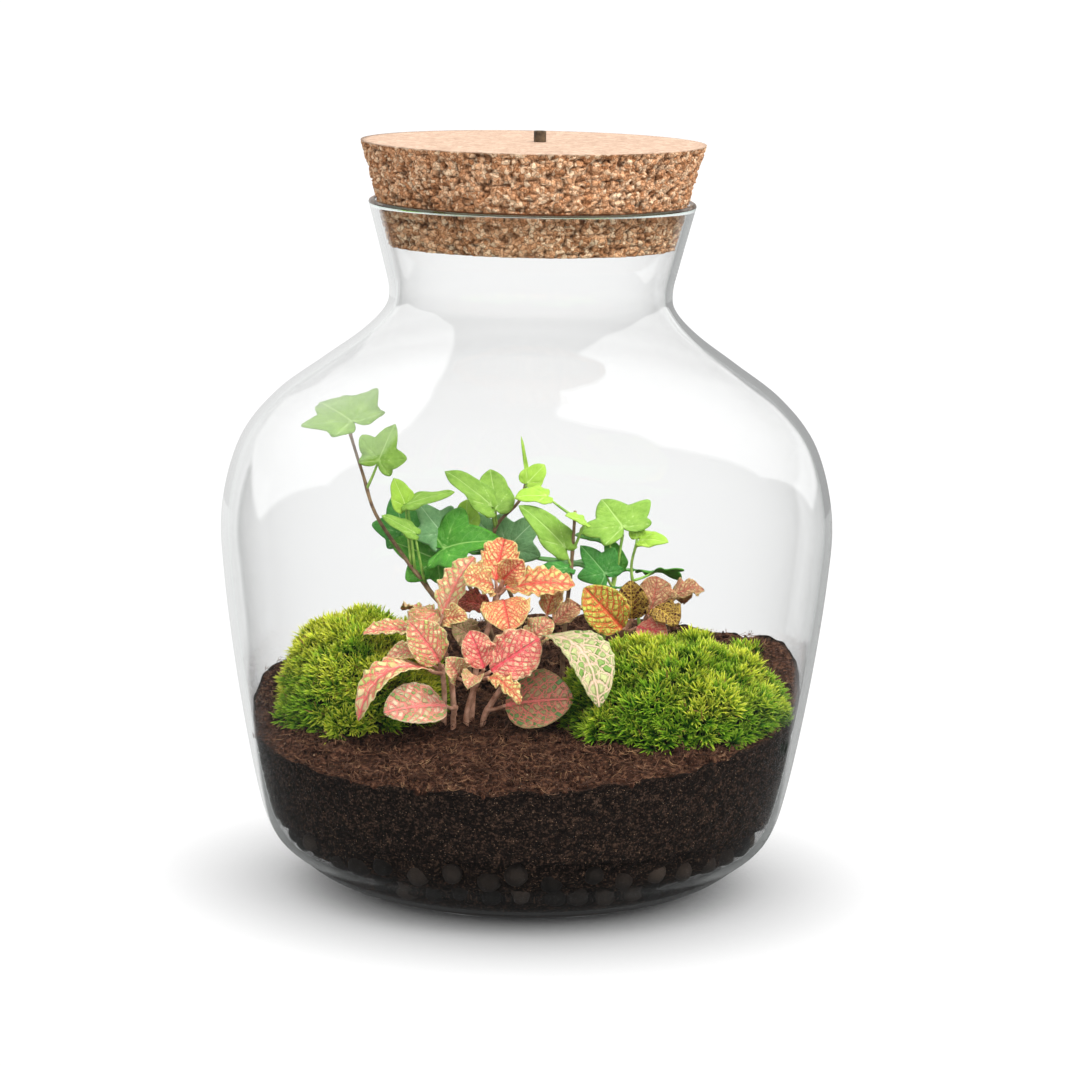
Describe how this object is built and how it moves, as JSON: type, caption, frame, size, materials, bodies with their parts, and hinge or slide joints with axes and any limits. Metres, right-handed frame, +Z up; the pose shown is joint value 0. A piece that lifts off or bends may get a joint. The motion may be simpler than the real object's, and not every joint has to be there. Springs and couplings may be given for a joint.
{
  "type": "potted nerve plant",
  "caption": "Nerve plants and ivy growing in a closed round glass jar with a tapered cork lid, over moss cushions, potting soil and clay pebbles.",
  "frame": {"origin": "centre of the jar's foot, on the surface it stands on", "axes": "+Z up out of the jar's mouth, +X to the right and -Y towards the viewer in the picture"},
  "size_m": [0.2492, 0.2492, 0.3096],
  "materials": {
    "glass": "gloss",
    "cork": "matte",
    "bung": "matte",
    "clay": "matte",
    "soil": "matte",
    "moss": "matte",
    "nerve_leaf": "satin",
    "ivy_leaf": "satin"
  },
  "bodies": {
    "root": {"glass_jar": "glass", "cork_lid": "cork", "lid_bung": "bung", "clay_pebbles": "clay", "potting_soil": "soil", "moss_left": "moss", "moss_right": "moss", "nerve_stem_1": "nerve_leaf", "nerve_stem_2": "nerve_leaf", "nerve_stem_3": "nerve_leaf", "nerve_stem_4": "nerve_leaf", "nerve_stem_5": "nerve_leaf", "nerve_stem_6": "nerve_leaf", "nerve_stem_7": "nerve_leaf", "nerve_stem_8": "nerve_leaf", "ivy_shoot_1": "ivy_leaf", "ivy_shoot_2": "ivy_leaf", "ivy_shoot_3": "ivy_leaf", "ivy_shoot_4": "ivy_leaf", "ivy_shoot_5": "ivy_leaf", "ivy_shoot_6": "ivy_leaf"}
  },
  "joints": []
}
